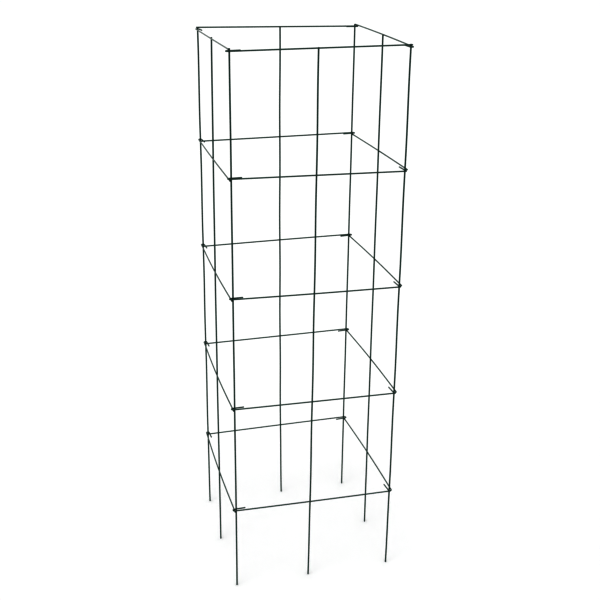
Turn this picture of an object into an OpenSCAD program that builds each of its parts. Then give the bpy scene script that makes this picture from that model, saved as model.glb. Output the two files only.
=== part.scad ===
// Square plant cage of coated steel wire that folds flat.
// Four identical panels hang on one another in a ring. A panel has a corner stake and a middle stake,
// with five rails welded across their outer sides. The far end of each rail is bent back into an open
// hook round the next panel's corner stake, so every corner is a hinge.
// A panel's top hook sits just below the next panel's top rail and its other hooks sit just above the
// rails of their own level, so no panel can slide up or down its hinge.
// The origin is the middle of the base, level with the leg tips. +Z is up and the front panel faces -Y.

/* [Cage] */
// Spacing of neighbouring corner stakes, centre to centre
side = 442; // [200:1:900]
// Place of a middle stake between its panel's own corner stake and the hooked one, as a share of the side
middle_share = 0.523; // [0.3:0.001:0.7]

/* [Stakes] */
// Diameter of the stake wire over its coating
stake_d = 4; // [2:0.1:10]
// Free leg from its tip to the centre of the bottom rail
leg_l = 241; // [50:1:500]
// Stub of stake above the centre of the top rail
crown_l = 1.8; // [1:0.1:60]

/* [Rails] */
// Diameter of the rail wire over its coating
rail_d = 3.4; // [2:0.1:8]
// Spacing of the rails up the stakes, centre to centre
rail_pitch = 309; // [60:1:600]
// Stub of rail past the side of its panel's corner stake
rail_stub = 1.5; // [0.5:0.5:8]
// Depth to which a weld sets a rail into a stake
weld_sink = 0.5; // [0.1:0.1:1]

/* [Hooks] */
// Play between a hook and the side of the stake it turns on
hook_play = 0.45; // [0.3:0.05:3]
// Distance from the centre of the hooked stake to the centre of the hook's bend
nose_reach = 4; // [0.5:0.5:20]
// Length of the hook's free leg past the centre of the hooked stake
free_leg_l = 27; // [10:1:60]
// Angle at which the free leg spreads away from its rail
spread_angle = 4; // [0.5:0.5:15]
// Gap, up or down, between a hook and the rail that is welded to the same stake
stack_gap = 1.2; // [1:0.1:10]

/* [Hidden] */
PANELS = ["front", "right", "back", "left"];
LEVELS = ["top", "upper", "middle", "lower", "bottom"];
STAKES = ["corner_stake", "middle_stake"];
RAILS = [for (level = LEVELS) str(level, "_rail")];

$fn = 48;
// Dark green of the coating
coat_colour = [0.09, 0.2, 0.16];
// Bevel round every cut wire end
end_bevel = 0.4;
// Growth of a wire's diameter where it is bent
bend_swell = 0.1;
// Run of a straight length of wire into the bend that it meets
overrun = 0.2;
// Each panel is the front one turned on by this angle
panel_turn = 360 / len(PANELS);

// Height of the top rail at its corner stake
top_z = leg_l + (len(LEVELS) - 1) * rail_pitch;
// Bare leg, up to the underside of the bottom rail
bare_leg_l = leg_l - rail_d / 2;
// Centre of a rail from the centre of a stake: pressed in at a weld, and with play in a hook
touch_r = (stake_d + rail_d) / 2;
weld_r = touch_r - weld_sink;
hook_r = touch_r + hook_play;
// The corner stakes form a square that is turned by a hair, since hooks stand further out than welds
lag = hook_r - weld_r;
span = sqrt(side * side - lag * lag);
near = (span - lag) / 2;
far = near + lag;
// A rail slopes by this much, over its length, to bring its hook clear of the next panel's rail
hook_step = rail_d + stack_gap;
run = norm([span, hook_step]);
slope = atan2(hook_step, span);
// Both stakes end just above the top rail, which has sloped down a little where it meets the middle one
corner_stake_l = top_z + crown_l;
middle_stake_l = corner_stake_l - middle_share * hook_step;

// A straight length of wire from the origin along +Z, with a bevelled end
module wire(d, l) {
    cylinder(h = l - end_bevel, d = d);
    translate([0, 0, l - end_bevel])
        cylinder(h = end_bevel, d1 = d, d2 = d - 2 * end_bevel);
}

// An upright stake from its leg tip at the origin: the bare leg, then the length that carries the rails
module stake(l) {
    translate([0, 0, bare_leg_l]) {
        mirror([0, 0, 1])
            wire(stake_d, bare_leg_l);
        wire(stake_d, l - bare_leg_l);
    }
}

// A rail along +X from its weld at the origin to its hook, which bends back on the -Y side
module hooked_rail() {
    bend_x = run + nose_reach;
    free_l = (nose_reach + free_leg_l + hook_r * sin(spread_angle)) / cos(spread_angle);
    translate([bend_x + overrun, 0, 0])
        rotate([0, -90, 0])
            wire(rail_d, overrun + bend_x + stake_d / 2 + rail_stub);
    translate([bend_x, -hook_r, 0])
        rotate(spread_angle - 90) {
            rotate_extrude(angle = 180 - spread_angle)
                translate([hook_r, 0])
                    circle(d = rail_d + bend_swell);
            translate([hook_r, overrun, 0])
                rotate([90, 0, 0])
                    wire(rail_d, overrun + free_l);
        }
}

// The front panel's corner stake, which the right panel hooks on to
module corner_stake() {
    color(coat_colour)
        translate([near, -far, 0])
            stake(corner_stake_l);
}

// The front panel's middle stake
module middle_stake() {
    color(coat_colour)
        translate([near - middle_share * span, -far, 0])
            stake(middle_stake_l);
}

// One of the front panel's rails, counted from the top. The top one slopes down to its hook, the others up
module rail(level) {
    tilt = level == 0 ? slope : -slope;
    color(coat_colour)
        translate([near, -far - weld_r, top_z - level * rail_pitch])
            rotate([0, tilt, 180])
                hooked_rail();
}

for (quarter = [0 : len(PANELS) - 1])
    rotate(quarter * panel_turn) {
        corner_stake();
        middle_stake();
        for (level = [0 : len(LEVELS) - 1])
            rail(level);
    }
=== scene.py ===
"""Looks of a fold-flat tomato cage: coated wires, welds, studio floor, light and camera.

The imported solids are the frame. Every wire is grown again here as a smooth tube along the same line,
with rolled cut ends, the pressed flats and squeezed-out flash of its welds, hooks that have rubbed, and
the slight set that long wire keeps. Lengths are in metres and angles in radians.
"""
import logging
import math
from collections.abc import Callable, Sequence
from dataclasses import dataclass, field
from enum import Enum

import bmesh
import bpy
from mathutils import Matrix, Quaternion, Vector


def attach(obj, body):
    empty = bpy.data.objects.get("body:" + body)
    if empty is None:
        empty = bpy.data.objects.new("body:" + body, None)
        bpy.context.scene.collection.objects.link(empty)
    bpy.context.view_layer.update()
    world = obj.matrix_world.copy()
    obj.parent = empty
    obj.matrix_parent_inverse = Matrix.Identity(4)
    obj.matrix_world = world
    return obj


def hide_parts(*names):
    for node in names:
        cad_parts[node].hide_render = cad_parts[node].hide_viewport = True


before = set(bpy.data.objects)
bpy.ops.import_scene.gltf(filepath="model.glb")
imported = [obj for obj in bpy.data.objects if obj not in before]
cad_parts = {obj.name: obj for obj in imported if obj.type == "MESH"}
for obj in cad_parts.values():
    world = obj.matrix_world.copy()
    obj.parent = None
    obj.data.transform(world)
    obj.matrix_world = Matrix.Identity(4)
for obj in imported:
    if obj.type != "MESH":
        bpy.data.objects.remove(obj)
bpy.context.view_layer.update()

log = logging.getLogger("tomato_cage")

RUB_LAYER = "rub"
# Layer that holds how far each point faces up, where upper sides are painted paler as light from above
PAINTED_TOP_LIGHT_LAYER = "painted_top_light"
MM = 0.001
ORIGIN = Vector((0.0, 0.0, 0.0))
ALONG = Vector((1.0, 0.0, 0.0))
ACROSS = Vector((0.0, 1.0, 0.0))
UP = Vector((0.0, 0.0, 1.0))
WHITE = (1.0, 1.0, 1.0, 1.0)
# A face with more corners than a quad is the flat cap of a cut end
QUAD_CORNERS = 4
# Sockets of a Mix node's colours, which share their names with its other kinds
MIX_FACTOR, MIX_UNDER, MIX_OVER, MIX_RESULT = 0, 6, 7, 2
Colour = tuple[float, float, float]


class Panel(Enum):
    """One side of the cage, as the quarter turns that bring the front panel there."""

    FRONT = 0
    RIGHT = 1
    BACK = 2
    LEFT = 3

    @property
    def word(self) -> str:
        """The panel's name as node and body names hold it."""
        return self.name.lower()

    @property
    def body(self) -> str:
        """The rigid body that the panel's pieces ride on."""
        return f"{self.word}_panel"

    @property
    def turn(self) -> Matrix:
        """The turn about the upright axis that brings the front panel to this side."""
        return Matrix.Rotation(self.value * math.pi / 2, 4, "Z")


class Level(Enum):
    """A rail's place in its panel, counted down from the top."""

    TOP = 0
    UPPER = 1
    MIDDLE = 2
    LOWER = 3
    BOTTOM = 4

    @property
    def word(self) -> str:
        """The level's name as node names hold it."""
        return self.name.lower()


class StakeKind(Enum):
    """The two uprights of a panel."""

    CORNER = "corner"
    MIDDLE = "middle"


@dataclass(frozen=True)
class CageSizes:
    """The driving sizes of the cage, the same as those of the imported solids."""

    side: float = 442 * MM
    middle_share: float = 0.523
    stake_d: float = 4 * MM
    leg_l: float = 241 * MM
    crown_l: float = 1.8 * MM
    rail_d: float = 3.4 * MM
    rail_pitch: float = 309 * MM
    rail_stub: float = 1.5 * MM
    weld_sink: float = 0.5 * MM
    hook_play: float = 0.45 * MM
    nose_reach: float = 4 * MM
    free_leg_l: float = 27 * MM
    spread_angle: float = math.radians(4)
    stack_gap: float = 1.2 * MM

    @property
    def top_z(self) -> float:
        """Height of the top rail at its corner stake."""
        return self.leg_l + (len(Level) - 1) * self.rail_pitch

    @property
    def weld_r(self) -> float:
        """Distance between the centres of a stake and a rail that is welded to it."""
        return (self.stake_d + self.rail_d) / 2 - self.weld_sink

    @property
    def hook_r(self) -> float:
        """Distance between the centres of a stake and the hook round it, and radius of the hook's bend."""
        return (self.stake_d + self.rail_d) / 2 + self.hook_play

    @property
    def lag(self) -> float:
        """How much further out than a weld a hook holds its rail."""
        return self.hook_r - self.weld_r

    @property
    def span(self) -> float:
        """Distance along a panel between its own corner stake and the one that it hooks on to."""
        return math.sqrt(self.side**2 - self.lag**2)

    @property
    def near(self) -> float:
        """Distance of the front panel's corner stake from the middle, along the panel."""
        return (self.span - self.lag) / 2

    @property
    def far(self) -> float:
        """Distance of the front panel's stakes from the middle, square to the panel."""
        return self.near + self.lag

    @property
    def hook_step(self) -> float:
        """Height between a rail's weld and its hook, which clears the next panel's rail."""
        return self.rail_d + self.stack_gap

    @property
    def run(self) -> float:
        """Length of a rail from its weld to the stake that it hooks on to."""
        return math.hypot(self.span, self.hook_step)

    def slope(self, level: Level) -> float:
        """Angle at which a rail climbs from its weld to its hook: the top one goes down."""
        angle = math.atan2(self.hook_step, self.span)
        return -angle if level is Level.TOP else angle

    def stake_x(self, kind: StakeKind) -> float:
        """Place of a stake along the front panel."""
        return self.near if kind is StakeKind.CORNER else self.near - self.middle_share * self.span

    def stake_l(self, kind: StakeKind) -> float:
        """Length of a stake from its leg tip to just above the sloping top rail."""
        return self.rail_z(Level.TOP, self.stake_x(kind)) + self.crown_l

    def hook_z(self, level: Level) -> float:
        """Height of a rail's hook."""
        return self.rail_z(level, self.near - self.span)

    def rail_z(self, level: Level, x: float) -> float:
        """Height of a front rail's centre line.

        Args:
            level: The rail's level.
            x: Place along the front panel.

        Returns:
            The height above the leg tips.
        """
        weld_z = self.top_z - level.value * self.rail_pitch
        return weld_z + (self.near - x) * math.tan(self.slope(level))


@dataclass(frozen=True)
class PanelSet:
    """The slight set that a panel's long wires keep, which bends no hinge.

    Attributes:
        out: How far the middle stake stands out of the panel in mm, at its foot, half-way up and on top.
        along: How far it strays towards its panel's corner stake in mm, at the same heights.
        ripple: How much the wires waver between their welds in mm.
        leg_kick: How far the free leg tips stray in mm, along and out of the panel.
    """

    out: tuple[float, float, float]
    along: tuple[float, float, float]
    ripple: float
    leg_kick: tuple[float, float]

    @staticmethod
    def at(marks: tuple[float, float, float], share: float) -> float:
        """Reads a set between its three marks, along the parabola through them.

        Args:
            marks: The set in mm at the foot, half-way up and at the top.
            share: Height as a share of the stake's length.

        Returns:
            The set at that height.
        """
        foot, half, top = marks
        lower, upper = 1.0 - share, 1.0 - 2.0 * share
        return (foot * lower * upper + half * 4.0 * share * lower - top * share * upper) * MM


PANEL_SETS: dict[Panel, PanelSet] = {
    Panel.FRONT: PanelSet((0.5, 1.0, 0.3), (-3.6, 0.2, 1.4), 0.4, (-1.0, 0.5)),
    Panel.RIGHT: PanelSet((3.2, 2.5, 1.8), (0.0, 0.8, 0.4), 0.5, (0.8, 0.6)),
    Panel.BACK: PanelSet((0.2, 0.6, 0.3), (-4.0, 1.5, 3.5), 0.4, (-0.6, -0.6)),
    Panel.LEFT: PanelSet((2.6, 3.3, -0.4), (0.0, 0.8, 0.4), 0.5, (0.8, 0.8)),
}


@dataclass(frozen=True)
class Pattern:
    """A noise pattern in a finish.

    Attributes:
        scale: Patches per metre.
        detail: Octaves of finer noise.
    """

    scale: float
    detail: float

    def add(self, tree: bpy.types.NodeTree, place: bpy.types.NodeSocket) -> bpy.types.NodeSocket:
        """Adds the pattern to a material.

        Args:
            tree: The material's nodes and links.
            place: The socket that gives the coordinates.

        Returns:
            The socket that gives the pattern's value.
        """
        noise = tree.nodes.new("ShaderNodeTexNoise")
        noise.inputs["Scale"].default_value = self.scale
        noise.inputs["Detail"].default_value = self.detail
        tree.links.new(place, noise.inputs["Vector"])
        return noise.outputs["Fac"]


@dataclass(frozen=True)
class CoatFinish:
    """Semi-gloss coating of deep green over the steel, with drifting tone and faint orange peel.

    Attributes:
        deep: The darker of the two greens that drift along the wires.
        light: The lighter one.
        rubbed: The green where a hook and a stake have polished the coating thin.
        painted_top_light: The pale, greyer green painted on upper sides as light from above and its sheen.
        painted_top_light_most: How much of that painted top light shows where the coating faces straight
            up.
        roughness: Lowest and highest roughness of the mottled gloss.
        specular: Strength of the coating's reflection.
        drift: Slow drift of the tone along the wires.
        tone_span: Values of the drift at which the tone is wholly deep and wholly light.
        mottle: Fine mottling of the gloss.
        peel: Dimples of the orange peel.
        peel_depth: Depth of the orange peel.
        peel_strength: How much of that depth shows.
    """

    deep: Colour = (0.003, 0.040, 0.028)
    light: Colour = (0.007, 0.060, 0.044)
    rubbed: Colour = (0.020, 0.075, 0.058)
    # Painted light: pale grey laid over upward faces as the light from above and its sheen
    painted_top_light: Colour = (0.170, 0.200, 0.185)
    painted_top_light_most: float = 0.28
    roughness: tuple[float, float] = (0.14, 0.24)
    specular: float = 0.5
    drift: Pattern = Pattern(scale=9.0, detail=3.0)
    tone_span: tuple[float, float] = (0.35, 0.65)
    mottle: Pattern = Pattern(scale=160.0, detail=2.0)
    peel: Pattern = Pattern(scale=1500.0, detail=1.0)
    peel_depth: float = 0.06 * MM
    peel_strength: float = 0.5

    def material(self) -> bpy.types.Material:
        """Builds the coating as shader nodes on Object coordinates and the wires' own layers.

        Returns:
            The coating's material.
        """
        coat = bpy.data.materials.new("deep_green_coating")
        coat.use_nodes = True
        tree = coat.node_tree
        shader = tree.nodes["Principled BSDF"]
        shader.inputs["Specular IOR Level"].default_value = self.specular
        place = tree.nodes.new("ShaderNodeTexCoord").outputs["Object"]

        tone = tree.nodes.new("ShaderNodeValToRGB")
        stops = tone.color_ramp.elements
        for stop, position, colour in zip(stops, self.tone_span, (self.deep, self.light)):
            stop.position = position
            stop.color = (*colour, 1.0)
        tree.links.new(self.drift.add(tree, place), tone.inputs["Fac"])
        # Upward faces painted paler and greyer: painted light from above, not a colour of the coating
        painted_top_lit = self.overlay(tree, PAINTED_TOP_LIGHT_LAYER, self.painted_top_light_most, tone.outputs["Color"], self.painted_top_light)
        worn = self.overlay(tree, RUB_LAYER, 1.0, painted_top_lit, self.rubbed)
        tree.links.new(worn, shader.inputs["Base Color"])

        gloss = tree.nodes.new("ShaderNodeMapRange")
        gloss.inputs["To Min"].default_value, gloss.inputs["To Max"].default_value = self.roughness
        tree.links.new(self.mottle.add(tree, place), gloss.inputs["Value"])
        tree.links.new(gloss.outputs["Result"], shader.inputs["Roughness"])

        bump = tree.nodes.new("ShaderNodeBump")
        bump.inputs["Strength"].default_value = self.peel_strength
        bump.inputs["Distance"].default_value = self.peel_depth
        tree.links.new(self.peel.add(tree, place), bump.inputs["Height"])
        tree.links.new(bump.outputs["Normal"], shader.inputs["Normal"])
        return coat

    @staticmethod
    def overlay(tree: bpy.types.NodeTree, layer: str, most: float,
                under: bpy.types.NodeSocket, over: Colour) -> bpy.types.NodeSocket:
        """Lays a colour over another one by a layer of the mesh.

        Args:
            tree: The material's nodes and links.
            layer: The mesh layer that holds how much shows, from 0 to 1.
            most: How much shows where the layer is whole.
            under: The socket that gives the colour beneath.
            over: The colour on top.

        Returns:
            The socket that gives the mixed colour.
        """
        amount = tree.nodes.new("ShaderNodeAttribute")
        amount.attribute_name = layer
        shown = tree.nodes.new("ShaderNodeMapRange")
        shown.inputs["To Max"].default_value = most
        tree.links.new(amount.outputs["Fac"], shown.inputs["Value"])
        mix = tree.nodes.new("ShaderNodeMix")
        mix.data_type = "RGBA"
        mix.inputs[MIX_OVER].default_value = (*over, 1.0)
        tree.links.new(shown.outputs["Result"], mix.inputs[MIX_FACTOR])
        tree.links.new(under, mix.inputs[MIX_UNDER])
        return mix.outputs[MIX_RESULT]


@dataclass(frozen=True)
class FloorFinish:
    """Matt, pale studio floor, which the light brings up to plain white.

    Attributes:
        colour: The floor's pale grey.
        roughness: Its roughness.
        specular: Strength of its reflection.
    """

    colour: Colour = (0.777, 0.777, 0.777)
    roughness: float = 0.9
    specular: float = 0.0

    def material(self) -> bpy.types.Material:
        """Builds the floor's material.

        Returns:
            The floor's material.
        """
        pale = bpy.data.materials.new("pale_floor")
        pale.use_nodes = True
        shader = pale.node_tree.nodes["Principled BSDF"]
        shader.inputs["Base Color"].default_value = (*self.colour, 1.0)
        shader.inputs["Roughness"].default_value = self.roughness
        shader.inputs["Specular IOR Level"].default_value = self.specular
        return pale


@dataclass
class WireForm:
    """A round wire that is grown ring by ring with mesh operators.

    Attributes:
        diameter: Thickness of the wire.
        start: Centre of the first ring.
        heading: Direction in which the wire goes on.
        sides: Points round a ring.
        ring_step: Spacing of the rings along a plain length.
        weld_step: Spacing of the closer rings round a weld.
        weld_reach: Length with closer rings, either side of a weld.
        bend_steps: Rings round a bend.
        end_roll: Radius to which the coating rounds the rim of a cut end.
        roll_steps: Rings round that radius.
        press_depth: Depth of the flat that a welding electrode leaves.
        press_reach: Length of that flat, either side of the weld.
        mesh: The wire so far.
        tail: Edges of the first ring.
        rim: Edges of the last ring.
    """

    diameter: float
    start: Vector
    heading: Vector
    sides: int = 32
    ring_step: float = 20 * MM
    weld_step: float = 0.8 * MM
    weld_reach: float = 8 * MM
    bend_steps: int = 24
    end_roll: float = 0.45 * MM
    roll_steps: int = 3
    press_depth: float = 0.2 * MM
    press_reach: float = 2.6 * MM
    mesh: bmesh.types.BMesh = field(init=False)
    tail: list[bmesh.types.BMEdge] = field(init=False)
    rim: list[bmesh.types.BMEdge] = field(init=False)

    def __post_init__(self) -> None:
        """Starts the wire as one ring."""
        self.mesh = bmesh.new()
        ring = bmesh.ops.create_circle(self.mesh, radius=self.diameter / 2, segments=self.sides)
        facing = self.heading.to_track_quat("Z", "X").to_matrix()
        bmesh.ops.rotate(self.mesh, verts=ring["verts"], cent=ORIGIN, matrix=facing)
        bmesh.ops.translate(self.mesh, verts=ring["verts"], vec=self.start)
        self.tail = list(self.mesh.edges)
        self.rim = list(self.mesh.edges)

    def run(self, length: float, welds: Sequence[float] = ()) -> None:
        """Grows a straight length, with closer rings round its welds.

        Args:
            length: The straight length.
            welds: Distances of the welds from the start of the length.
        """
        plain = max(1, round(length / self.ring_step))
        stops = [length * step / plain for step in range(1, plain)]
        close = round(self.weld_reach / self.weld_step)
        for weld in welds:
            stops = [stop for stop in stops if abs(stop - weld) > self.weld_reach]
            stops += [weld + step * self.weld_step for step in range(-close, close + 1)]
        inside = [stop for stop in stops if self.end_roll < stop < length - self.end_roll]
        reached = 0.0
        for stop in sorted(inside) + [length]:
            self.grow(stop - reached)
            reached = stop

    def grow(self, length: float) -> None:
        """Adds one ring, further along the present heading.

        Args:
            length: Distance from the last ring to the new one.
        """
        grown = bmesh.ops.extrude_edge_only(self.mesh, edges=self.rim)["geom"]
        ring = [part for part in grown if isinstance(part, bmesh.types.BMVert)]
        edges = [part for part in grown if isinstance(part, bmesh.types.BMEdge)]
        self.rim = [edge for edge in edges if edge.is_boundary]
        bmesh.ops.translate(self.mesh, verts=ring, vec=self.heading * length)

    def bend(self, centre: Vector, axis: Vector, angle: float) -> None:
        """Bends the wire on.

        Args:
            centre: Centre of the bend.
            axis: Axis of the bend, by the right-hand rule.
            angle: Angle of the bend.
        """
        last = bmesh.ops.spin(self.mesh, geom=self.rim, cent=centre, axis=axis, angle=angle,
                              steps=self.bend_steps, use_duplicate=False)["geom_last"]
        self.rim = [part for part in last if isinstance(part, bmesh.types.BMEdge)]
        self.heading = Quaternion(axis, angle) @ self.heading

    def close(self) -> None:
        """Caps both cut ends, rolls their rims over and turns every face outwards."""
        for rim in (self.tail, self.rim):
            bmesh.ops.edgeloop_fill(self.mesh, edges=rim)
        bmesh.ops.bevel(self.mesh, geom=self.tail + self.rim, affect="EDGES", offset=self.end_roll,
                        offset_type="OFFSET", segments=self.roll_steps, profile=0.5, material=-1,
                        clamp_overlap=True)
        bmesh.ops.recalc_face_normals(self.mesh, faces=self.mesh.faces)

    def press(self, centre: Vector, axis: Vector, side: Vector) -> None:
        """Flattens the wire a little where a welding electrode pressed on it.

        Args:
            centre: Centre of the wire at the weld.
            axis: Direction of the wire.
            side: Direction from the wire's centre to the electrode.
        """
        for vert in self.mesh.verts:
            arm = vert.co - centre
            share = 1.0 - (arm.dot(axis) / self.press_reach) ** 2
            over = arm.dot(side) - self.diameter / 2 + self.press_depth * max(0.0, share)
            if share > 0.0 and over > 0.0:
                vert.co -= side * over

    def mark(self, layer: str, amount: Callable[[Vector], float]) -> None:
        """Writes an amount at each point to a mesh layer, kept between 0 and 1.

        Args:
            layer: The layer's name.
            amount: Gives the amount at a point.
        """
        held = self.mesh.verts.layers.float.new(layer)
        for vert in self.mesh.verts:
            vert[held] = max(0.0, min(1.0, amount(vert.co)))

    def settle(self, offset: Callable[[Vector], Vector]) -> None:
        """Gives the wire its set, by an offset at each point."""
        for vert in self.mesh.verts:
            vert.co += offset(vert.co)


def link_piece(mesh: bmesh.types.BMesh, name: str, place: Matrix) -> bpy.types.Object:
    """Turns a finished mesh into an object that sits at the origin, and notes how far each point faces up,
    for the paler colour painted on upper sides as light from above.

    Args:
        mesh: The mesh, which is freed.
        name: The object's name.
        place: Where the mesh goes.

    Returns:
        The object, with its place in its mesh.
    """
    bmesh.ops.transform(mesh, matrix=place, verts=mesh.verts)
    mesh.normal_update()
    # How far each point faces up sets how much painted top light it gets
    painted_top_light = mesh.verts.layers.float.new(PAINTED_TOP_LIGHT_LAYER)
    for vert in mesh.verts:
        vert[painted_top_light] = max(0.0, vert.normal.z)
    for face in mesh.faces:
        face.smooth = len(face.verts) <= QUAD_CORNERS
    data = bpy.data.meshes.new(name)
    mesh.to_mesh(data)
    mesh.free()
    piece = bpy.data.objects.new(name, data)
    bpy.context.scene.collection.objects.link(piece)
    return piece


@dataclass
class Stake:
    """An upright wire of a panel, from its leg tip to just above the top rail.

    Attributes:
        sizes: The cage's sizes.
        panel: The panel that it belongs to.
        kind: Which of the panel's uprights it is.
        rub_fade: Height over which the polish of a hook fades away.
    """

    sizes: CageSizes
    panel: Panel
    kind: StakeKind
    rub_fade: float = 0.9 * MM

    @property
    def node(self) -> str:
        """The solid that the wire stands for."""
        return f"{self.panel.word}_{self.kind.value}_stake"

    def build(self) -> bpy.types.Object:
        """Grows the wire and sets it up in its panel.

        Returns:
            The stake's piece.
        """
        x = self.sizes.stake_x(self.kind)
        welds = [self.sizes.rail_z(level, x) for level in Level]
        wire = WireForm(self.sizes.stake_d, ORIGIN, UP)
        wire.run(self.sizes.stake_l(self.kind), welds)
        wire.close()
        for height in welds:
            wire.press(UP * height, UP, ACROSS)
        if self.kind is StakeKind.CORNER:
            wire.mark(RUB_LAYER, self.rub)
        wire.settle(self.offset)
        foot = Matrix.Translation((x, -self.sizes.far, 0.0))
        return link_piece(wire.mesh, f"{self.node}_wire", self.panel.turn @ foot)

    def rub(self, point: Vector) -> float:
        """Tells how far the next panel's hooks have polished the coating at a point.

        Args:
            point: The point, from the leg tip.

        Returns:
            1 and more where a hook turns, and 0 and less clear of the hooks.
        """
        away = min(abs(point.z - self.sizes.hook_z(level)) for level in Level)
        return 1.0 - (away - self.sizes.rail_d / 2) / self.rub_fade

    def offset(self, point: Vector) -> Vector:
        """The wire's set at a point of the straight stake.

        Args:
            point: The point, from the leg tip.

        Returns:
            The offset in the front panel's directions.
        """
        kept = PANEL_SETS[self.panel]
        below = max(0.0, 1.0 - point.z / self.sizes.leg_l)
        kick = below * below * MM
        waver = math.sin(2 * math.pi * (point.z - self.sizes.leg_l) / self.sizes.rail_pitch)
        along = kept.leg_kick[0] * kick + kept.ripple * waver * (1.0 - below) * MM
        out = kept.leg_kick[1] * kick
        if self.kind is StakeKind.MIDDLE:
            share = point.z / self.sizes.top_z
            along += kept.at(kept.along, share)
            out += kept.at(kept.out, share)
        return Vector((along, -out, 0.0))


@dataclass
class Rail:
    """A wire across a panel, welded to its stakes and hooked round the next panel's corner stake.

    Attributes:
        sizes: The cage's sizes.
        panel: The panel that it belongs to.
        level: Its place in the panel.
        trim: How much one hook's free leg is longer or shorter than another's.
        bend_error: How much one hook is bent further or less than another.
        hook_phase: Phase of the hooks' differences: per level, per panel and at the start.
        sag_phase: Phase of the rails' sag: per level and per panel.
    """

    sizes: CageSizes
    panel: Panel
    level: Level
    trim: float = 0.9 * MM
    bend_error: float = math.radians(0.7)
    hook_phase: tuple[float, float, float] = (1.3, 2.1, 0.6)
    sag_phase: tuple[float, float] = (2.4, 1.7)

    @property
    def node(self) -> str:
        """The solid that the wire stands for."""
        return f"{self.panel.word}_{self.level.word}_rail"

    @property
    def unevenness(self) -> float:
        """How this hook differs from the others, from -1 to 1."""
        per_level, per_panel, start = self.hook_phase
        return math.sin(per_level * self.level.value + per_panel * self.panel.value + start)

    def build(self) -> bpy.types.Object:
        """Grows the wire from its weld to the tip of its hook and lays it across its panel.

        Returns:
            The rail's piece.
        """
        sizes = self.sizes
        stub = sizes.stake_d / 2 + sizes.rail_stub
        bend_x = sizes.run + sizes.nose_reach
        spread = sizes.spread_angle + self.bend_error * self.unevenness
        free_l = sizes.nose_reach + sizes.free_leg_l + self.trim * self.unevenness
        welds = [(sizes.near - sizes.stake_x(kind)) * sizes.run / sizes.span for kind in StakeKind]
        wire = WireForm(sizes.rail_d, -stub * ALONG, ALONG)
        wire.run(stub + bend_x, [stub + weld for weld in welds])
        wire.bend(Vector((bend_x, -sizes.hook_r, 0.0)), -UP, math.pi - spread)
        wire.run((free_l + sizes.hook_r * math.sin(spread)) / math.cos(spread))
        wire.close()
        for weld in welds:
            wire.press(ALONG * weld, ALONG, ACROSS)
        wire.mark(RUB_LAYER, self.rub)
        wire.settle(self.offset)
        weld_z = sizes.rail_z(self.level, sizes.near)
        start = Matrix.Translation((sizes.near, -sizes.far - sizes.weld_r, weld_z))
        lay = Matrix.Rotation(math.pi, 4, "Z") @ Matrix.Rotation(-sizes.slope(self.level), 4, "Y")
        return link_piece(wire.mesh, f"{self.node}_wire", self.panel.turn @ start @ lay)

    def rub(self, point: Vector) -> float:
        """Tells how far the stake in the hook has polished the coating at a point.

        Args:
            point: The point, from the weld, along the rail.

        Returns:
            1 where the stake touches, and 0 and less from the wire's middle outwards.
        """
        arm = point - Vector((self.sizes.run, -self.sizes.hook_r, 0.0))
        touch = self.sizes.stake_d / 2 + self.sizes.hook_play
        return 1.0 - (math.hypot(arm.x, arm.y) - touch) / (self.sizes.rail_d / 2)

    def offset(self, point: Vector) -> Vector:
        """The wire's set at a point of the straight rail.

        Args:
            point: The point, from the weld, along the rail.

        Returns:
            The offset in the rail's own directions.
        """
        kept = PANEL_SETS[self.panel]
        arch = math.sin(math.pi * max(0.0, min(1.0, point.x / self.sizes.run)))
        height = self.sizes.rail_z(self.level, self.sizes.stake_x(StakeKind.MIDDLE))
        out = kept.at(kept.out, height / self.sizes.top_z)
        per_level, per_panel = self.sag_phase
        sag = kept.ripple * math.sin(per_level * self.level.value + per_panel * self.panel.value) * MM
        return Vector((0.0, out * arch, sag * arch))


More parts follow.
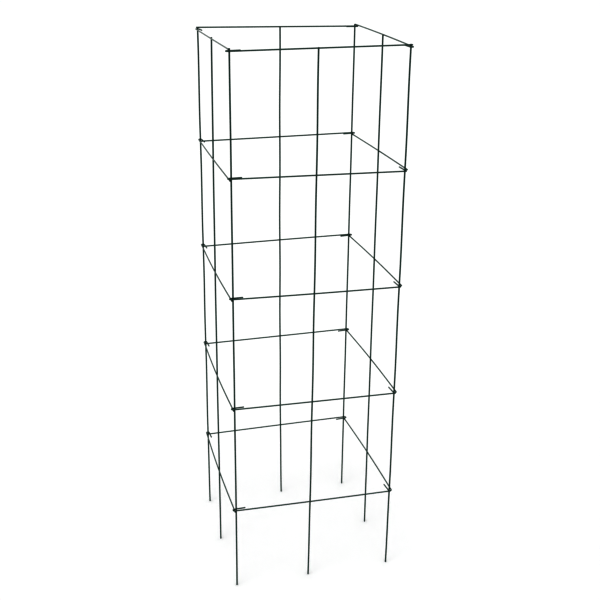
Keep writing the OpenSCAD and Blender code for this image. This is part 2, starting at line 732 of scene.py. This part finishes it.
@dataclass
class Welds:
    """The flash squeezed out round each weld of a panel, under the coating.

    Attributes:
        sizes: The cage's sizes.
        panel: The panel that they belong to.
        ring_r: Radius of the ring of flash.
        bead_r: Radius of its bead.
        bead_sides: Points round the bead.
        ring_steps: Steps round the ring.
        broad_swell: Share by which the bead swells in a few broad lobes.
        broad_lobes: Number of those lobes.
        fine_swell: Share by which it swells in finer lobes.
        fine_lobes: Number of the finer lobes.
        phase: Where the lobes start: per level, per panel and on a middle stake.
    """

    sizes: CageSizes
    panel: Panel
    ring_r: float = 1.4 * MM
    bead_r: float = 0.42 * MM
    bead_sides: int = 12
    ring_steps: int = 36
    broad_swell: float = 0.16
    broad_lobes: int = 3
    fine_swell: float = 0.09
    fine_lobes: int = 7
    phase: tuple[float, float, float] = (1.9, 0.8, 2.6)

    def build(self) -> bpy.types.Object:
        """Makes a ring of flash at every crossing of a stake and a rail.

        Returns:
            The piece that holds the panel's rings.
        """
        mesh = bmesh.new()
        for kind in StakeKind:
            for level in Level:
                self.squeeze(mesh, kind, level)
        bmesh.ops.recalc_face_normals(mesh, faces=mesh.faces)
        return link_piece(mesh, f"{self.panel.word}_weld_flash", self.panel.turn)

    def squeeze(self, mesh: bmesh.types.BMesh, kind: StakeKind, level: Level) -> None:
        """Adds one ring of flash, which lies in the crease between the two wires.

        Args:
            mesh: The mesh that takes the ring.
            kind: The stake of the weld.
            level: The rail of the weld.
        """
        sizes = self.sizes
        x = sizes.stake_x(kind)
        from_weld = Vector((sizes.near - x, 0.0, 0.0))
        height = sizes.rail_z(level, x) + Rail(sizes, self.panel, level).offset(from_weld).z
        stake = Stake(sizes, self.panel, kind)
        bead = bmesh.ops.create_circle(mesh, radius=self.bead_r, segments=self.bead_sides)["verts"]
        bmesh.ops.translate(mesh, verts=bead, vec=ALONG * self.ring_r)
        edges = list({edge for vert in bead for edge in vert.link_edges})
        before = set(mesh.verts) - set(bead)
        bmesh.ops.spin(mesh, geom=edges, cent=ORIGIN, axis=ACROSS, angle=2 * math.pi,
                       steps=self.ring_steps, use_merge=True, use_duplicate=False)
        ring = [vert for vert in mesh.verts if vert not in before]
        per_level, per_panel, on_middle = self.phase
        phase = per_level * level.value + per_panel * self.panel.value
        if kind is StakeKind.MIDDLE:
            phase += on_middle
        for vert in ring:
            self.seat(vert, phase)
        centre = Vector((x, -sizes.far, height)) + stake.offset(UP * height)
        bmesh.ops.translate(mesh, verts=ring, vec=centre)

    def seat(self, vert: bmesh.types.BMVert, phase: float) -> None:
        """Moves a point of a plain ring into the crease, with the unevenness of squeezed metal.

        Args:
            vert: The point, with the stake's centre as origin.
            phase: Where the unevenness starts round the ring.
        """
        turn = math.atan2(vert.co.z, vert.co.x)
        broad = self.broad_swell * math.sin(self.broad_lobes * turn + phase)
        fine = self.fine_swell * math.sin(self.fine_lobes * turn - 2 * phase)
        swell = 1.0 + broad + fine
        across, up = self.ring_r * math.cos(turn), self.ring_r * math.sin(turn)
        stake_side = -math.sqrt((self.sizes.stake_d / 2) ** 2 - across**2)
        rail_side = -self.sizes.weld_r + math.sqrt((self.sizes.rail_d / 2) ** 2 - up**2)
        reach = math.hypot(vert.co.x, vert.co.z)
        spread = (self.ring_r + (reach - self.ring_r) * swell) / reach
        crease = (stake_side + rail_side) / 2
        vert.co = Vector((vert.co.x * spread, vert.co.y * swell + crease, vert.co.z * spread))


@dataclass
class CagePanel:
    """One panel of the cage: two stakes, five rails and their welds.

    Attributes:
        sizes: The cage's sizes.
        panel: The side of the cage that it forms.
    """

    sizes: CageSizes
    panel: Panel

    def build(self) -> list[bpy.types.Object]:
        """Makes the panel's pieces, each riding on the panel's body.

        Returns:
            The panel's pieces.
        """
        wires = [Stake(self.sizes, self.panel, kind) for kind in StakeKind]
        wires += [Rail(self.sizes, self.panel, level) for level in Level]
        pieces = []
        for wire in wires:
            piece = wire.build()
            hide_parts(wire.node)
            pieces.append(piece)
        pieces.append(Welds(self.sizes, self.panel).build())
        for piece in pieces:
            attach(piece, self.panel.body)
        return pieces

    def dress(self, pieces: list[bpy.types.Object], coat: bpy.types.Material) -> None:
        """Coats the panel's pieces.

        Args:
            pieces: The panel's pieces.
            coat: The coating.
        """
        for piece in pieces:
            piece.data.materials.append(coat)
            log.info("%s rides on %s, %d faces", piece.name, self.panel.body, len(piece.data.polygons))


@dataclass
class Studio:
    """Pale floor, soft white light and the camera at the photograph's place.

    Attributes:
        floor_size: Side of the square floor.
        sky: Strength of the white surroundings.
        top_light: Strength of the broad light from above.
        top_spread: Angle that it covers.
        top_from: Direction from the cage to it.
        side_light: Strength of the light from the left.
        side_spread: Angle that it covers.
        side_from: Direction from the cage to it.
        eye: Place of the camera.
        aim: Point at the middle of the picture.
        roll: Turn of the camera about its line of sight.
        lens: Focal length in millimetres on a 36 mm wide picture.
        tone: Gamma of the picture, which keeps thin wires as dark as the photograph has them.
    """

    floor_size: float = 120.0
    sky: float = 1.0
    top_light: float = 1.0
    top_spread: float = math.radians(40)
    top_from: Vector = Vector((-0.23, -0.31, 0.92))
    side_light: float = 0.6
    side_spread: float = math.radians(16)
    side_from: Vector = Vector((-0.86, -0.45, 0.24))
    eye: Vector = Vector((-0.6734, -2.5342, 1.7823))
    aim: Vector = Vector((0.0122, 0.0, 0.7559))
    roll: float = math.radians(0.626)
    lens: float = 60.43
    tone: float = 0.46

    def build(self) -> None:
        """Sets up the floor, the lights, the surroundings, the camera and the picture's tones."""
        self.lay_floor()
        self.hang("top_light", self.top_light, self.top_spread, self.top_from)
        self.hang("side_light", self.side_light, self.side_spread, self.side_from)
        self.surround()
        self.aim_camera()
        self.develop()

    def lay_floor(self) -> None:
        """Lays the floor under the leg tips."""
        mesh = bmesh.new()
        bmesh.ops.create_grid(mesh, x_segments=1, y_segments=1, size=self.floor_size / 2)
        floor = link_piece(mesh, "studio_floor", Matrix.Identity(4))
        floor.data.materials.append(FloorFinish().material())

    def hang(self, name: str, strength: float, spread: float, source: Vector) -> None:
        """Hangs a soft light, far away.

        Args:
            name: The light's name.
            strength: Its strength.
            spread: Angle that it covers, seen from the cage.
            source: Direction from the cage to the light.
        """
        lamp = bpy.data.lights.new(name, "SUN")
        lamp.energy = strength
        lamp.angle = spread
        hung = bpy.data.objects.new(name, lamp)
        hung.matrix_world = source.to_track_quat("Z", "Y").to_matrix().to_4x4()
        bpy.context.scene.collection.objects.link(hung)

    def surround(self) -> None:
        """Surrounds the scene with plain white."""
        world = bpy.data.worlds.new("white_surroundings")
        world.use_nodes = True
        sky = world.node_tree.nodes["Background"]
        sky.inputs["Color"].default_value = WHITE
        sky.inputs["Strength"].default_value = self.sky
        bpy.context.scene.world = world

    def aim_camera(self) -> None:
        """Places the camera where the photograph was taken from."""
        data = bpy.data.cameras.new("photo_camera")
        data.lens = self.lens
        camera = bpy.data.objects.new("photo_camera", data)
        sight = (self.aim - self.eye).to_track_quat("-Z", "Y")
        camera.matrix_world = Matrix.LocRotScale(self.eye, sight @ Quaternion(UP, self.roll), None)
        bpy.context.scene.collection.objects.link(camera)
        bpy.context.scene.camera = camera

    def develop(self) -> None:
        """Sets how light becomes the picture's tones."""
        bpy.context.scene.view_settings.view_transform = "Standard"
        bpy.context.scene.view_settings.gamma = self.tone


def main() -> None:
    """Builds and dresses the cage, panel by panel, and sets up the studio."""
    logging.basicConfig(level=logging.INFO, format="%(name)s: %(message)s")
    sizes = CageSizes()
    coat = CoatFinish().material()
    for panel in Panel:
        side = CagePanel(sizes, panel)
        side.dress(side.build(), coat)
    Studio().build()


if __name__ == "__main__":
    main()
